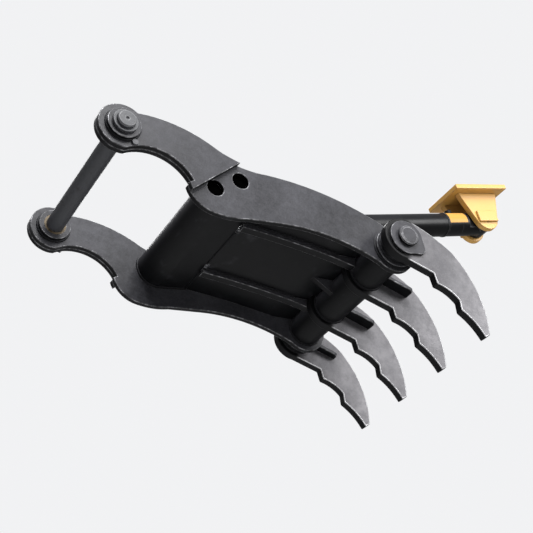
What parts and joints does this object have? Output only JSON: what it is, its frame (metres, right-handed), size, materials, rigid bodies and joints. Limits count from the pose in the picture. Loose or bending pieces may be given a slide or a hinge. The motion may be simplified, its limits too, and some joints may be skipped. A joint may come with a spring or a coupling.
{
  "type": "hydraulic thumb",
  "caption": "Main-pin hydraulic thumb for an excavator: arched side plates, boxed spine, cross tube with hooked stepped tines, and a cylinder up to a bracket under the stick.",
  "frame": {"origin": "centre of the main pin, half way between the two side plates", "axes": "+X along the thumb from the main pin to the toothed end, +Y across it towards the right side plate, +Z towards the stick"},
  "size_m": [2.1839, 1.048, 1.2823],
  "materials": {
    "thumb_paint": "satin",
    "tine_steel": "worn satin",
    "pin_steel": "turned",
    "rod_chrome": "polished",
    "bushing_bronze": "machined",
    "barrel_paint": "gloss",
    "bracket_paint": "satin",
    "seal_rubber": "matte"
  },
  "bodies": {
    "base": {"base_pad": "bracket_paint", "base_ear_left": "bracket_paint", "base_ear_right": "bracket_paint", "base_pin_end_left": "pin_steel", "base_pin_end_right": "pin_steel", "base_pin_flags": "bracket_paint", "main_pin": "thumb_paint", "main_pin_collar_left": "thumb_paint", "main_pin_collar_right": "thumb_paint"},
    "thumb": {"side_plate_left": "thumb_paint", "side_plate_right": "thumb_paint", "neck_doubler_left": "thumb_paint", "neck_doubler_right": "thumb_paint", "hub_boss_left": "thumb_paint", "hub_boss_right": "thumb_paint", "hub_bushing_left": "bushing_bronze", "hub_bushing_right": "bushing_bronze", "keeper_bolts": "thumb_paint", "nose_skin": "thumb_paint", "belly_skin": "thumb_paint", "web_left": "thumb_paint", "web_right": "thumb_paint", "wear_bar_left": "tine_steel", "wear_bar_right": "tine_steel", "centre_rib": "thumb_paint", "rod_lug_left": "thumb_paint", "rod_lug_right": "thumb_paint", "rod_pin": "pin_steel", "rod_pin_retainer": "pin_steel", "cross_tube": "thumb_paint", "tip_pin": "pin_steel", "tip_collar_left": "thumb_paint", "tip_collar_right": "thumb_paint", "tip_bush_left": "bushing_bronze", "tip_bush_right": "bushing_bronze", "tip_flag_left": "thumb_paint", "tip_flag_right": "thumb_paint", "tip_pin_head_left": "thumb_paint", "tip_pin_head_right": "thumb_paint", "tine_1": "tine_steel", "tine_2": "tine_steel", "tine_3": "tine_steel", "tine_4": "tine_steel", "tine_gussets": "thumb_paint"},
    "rod": {"rod_eye": "pin_steel", "rod_eye_bushing": "bushing_bronze", "piston_rod": "rod_chrome", "piston": "pin_steel", "piston_seal": "seal_rubber", "rod_nut": "pin_steel"},
    "barrel": {"gland": "barrel_paint", "gland_bolts": "pin_steel", "rod_wiper": "seal_rubber", "barrel_tube": "barrel_paint", "barrel_band": "barrel_paint", "base_port": "barrel_paint", "gland_port": "barrel_paint", "base_eye": "barrel_paint", "base_eye_bushing": "bushing_bronze", "base_pin_middle": "pin_steel"}
  },
  "joints": [
    {"name": "thumb_swing", "type": "hinge", "parent": "base", "child": "thumb", "pos_m": [0, 0, 0], "axis": [0, 1, 0], "range_deg": [0, 120]},
    {"name": "rod_swing", "type": "hinge", "parent": "thumb", "child": "rod", "pos_m": [0.536, 0, -0.006], "axis": [0, -1, 0], "range_deg": [0, 121.25]},
    {"name": "barrel_slide", "type": "slide", "parent": "rod", "child": "barrel", "axis": [0.8983, 0, 0.4393], "range_m": [0, 0.9276]}
  ],
  "couplings": [
    {"joint": "rod_swing", "follows": "thumb_swing", "ratio": 1.01},
    {"joint": "barrel_slide", "follows": "thumb_swing", "m_per_rad": 0.44283}
  ]
}
